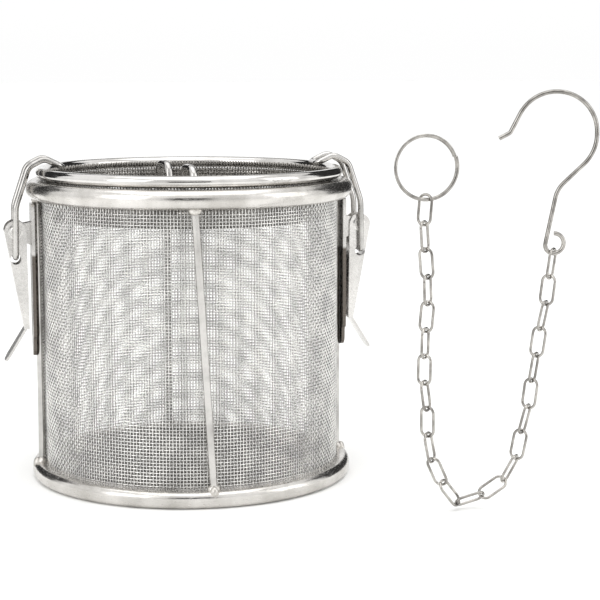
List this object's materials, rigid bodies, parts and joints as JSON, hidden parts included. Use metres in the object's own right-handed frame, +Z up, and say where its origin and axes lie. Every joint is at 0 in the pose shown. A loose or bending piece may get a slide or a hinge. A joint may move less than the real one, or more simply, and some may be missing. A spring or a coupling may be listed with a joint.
{
  "type": "mesh infuser basket",
  "caption": "Round woven-mesh steel infuser basket with a recessed mesh lid held by toggle latches, with a loose hanging chain, split ring and hook.",
  "frame": {"origin": "centre of the foot ring, on the surface that the basket stands on", "axes": "+Z up through the lid; the two latches lie on +X and -X; the loose chain hangs at -Y, to the +X side"},
  "size_m": [0.1996, 0.1449, 0.1466],
  "materials": {
    "woven_mesh": "plain-woven stainless wire cloth, bright wires with dark openings",
    "polished_steel": "drawn and polished stainless steel wire and rolled ring",
    "pressed_steel": "pressed stainless sheet and bent spring wire, tumbled smooth",
    "chain_steel": "nickel-bright twisted link chain, slightly darker than the basket"
  },
  "bodies": {
    "basket": {"rim_ring": "polished_steel", "foot_ring": "polished_steel", "wall_mesh": "woven_mesh", "floor_mesh": "woven_mesh", "rib_front": "polished_steel", "rib_right": "polished_steel", "rib_back": "polished_steel", "rib_left": "polished_steel", "left_latch_plate": "pressed_steel", "right_latch_plate": "pressed_steel", "left_latch_pin": "pressed_steel", "right_latch_pin": "pressed_steel"},
    "lid": {"lid_ring": "polished_steel", "lid_mesh": "woven_mesh", "lid_handle": "polished_steel"},
    "left_lever": {"left_latch_lever": "pressed_steel"},
    "right_lever": {"right_latch_lever": "pressed_steel"},
    "left_bail": {"left_latch_bail": "pressed_steel"},
    "right_bail": {"right_latch_bail": "pressed_steel"},
    "chain": {"chain_link_01": "chain_steel", "chain_link_02": "chain_steel", "chain_link_03": "chain_steel", "chain_link_04": "chain_steel", "chain_link_05": "chain_steel", "chain_link_06": "chain_steel", "chain_link_07": "chain_steel", "chain_link_08": "chain_steel", "chain_link_09": "chain_steel", "chain_link_10": "chain_steel", "chain_link_11": "chain_steel", "chain_link_12": "chain_steel", "chain_link_13": "chain_steel", "chain_link_14": "chain_steel", "chain_link_15": "chain_steel", "chain_link_16": "chain_steel", "chain_link_17": "chain_steel", "chain_link_18": "chain_steel", "chain_link_19": "chain_steel", "chain_link_20": "chain_steel", "chain_link_21": "chain_steel", "chain_link_22": "chain_steel", "chain_link_23": "chain_steel"},
    "split_ring": {"chain_split_ring": "chain_steel"},
    "hook": {"chain_hook": "chain_steel"}
  },
  "joints": [
    {"name": "left_lever_hinge", "type": "hinge", "parent": "basket", "child": "left_lever", "pos_m": [-0.0654, 0, 0.0939], "axis": [0, 1, 0], "range_deg": [0, 100]},
    {"name": "right_lever_hinge", "type": "hinge", "parent": "basket", "child": "right_lever", "pos_m": [0.0654, 0, 0.0939], "axis": [0, -1, 0], "range_deg": [0, 100]},
    {"name": "left_bail_hinge", "type": "hinge", "parent": "left_lever", "child": "left_bail", "pos_m": [-0.0655, 0, 0.0844], "axis": [0, -1, 0], "range_deg": [0, 190]},
    {"name": "right_bail_hinge", "type": "hinge", "parent": "right_lever", "child": "right_bail", "pos_m": [0.0655, 0, 0.0844], "axis": [0, 1, 0], "range_deg": [0, 190]},
    {"name": "lid_lift", "type": "slide", "parent": "basket", "child": "lid", "axis": [0, 0, 1], "range_m": [0, 0.014]},
    {"name": "chain_lift", "type": "slide", "parent": "basket", "child": "chain", "axis": [0, 0, 1], "range_m": [0, 0.04]},
    {"name": "split_ring_turn", "type": "hinge", "parent": "chain", "child": "split_ring", "pos_m": [0.0682, -0.08, 0.12045], "axis": [0, 1, 0], "continuous": true},
    {"name": "hook_twist", "type": "hinge", "parent": "chain", "child": "hook", "pos_m": [0.11467, -0.08, 0.09343], "axis": [0, 0, 1], "range_deg": [-12, 12]}
  ],
  "couplings": [
    {"joint": "right_lever_hinge", "follows": "left_lever_hinge", "ratio": 1},
    {"joint": "left_bail_hinge", "follows": "left_lever_hinge", "ratio": 1.9},
    {"joint": "right_bail_hinge", "follows": "left_lever_hinge", "ratio": 1.9},
    {"joint": "lid_lift", "follows": "left_lever_hinge", "m_per_rad": 0.00802}
  ]
}
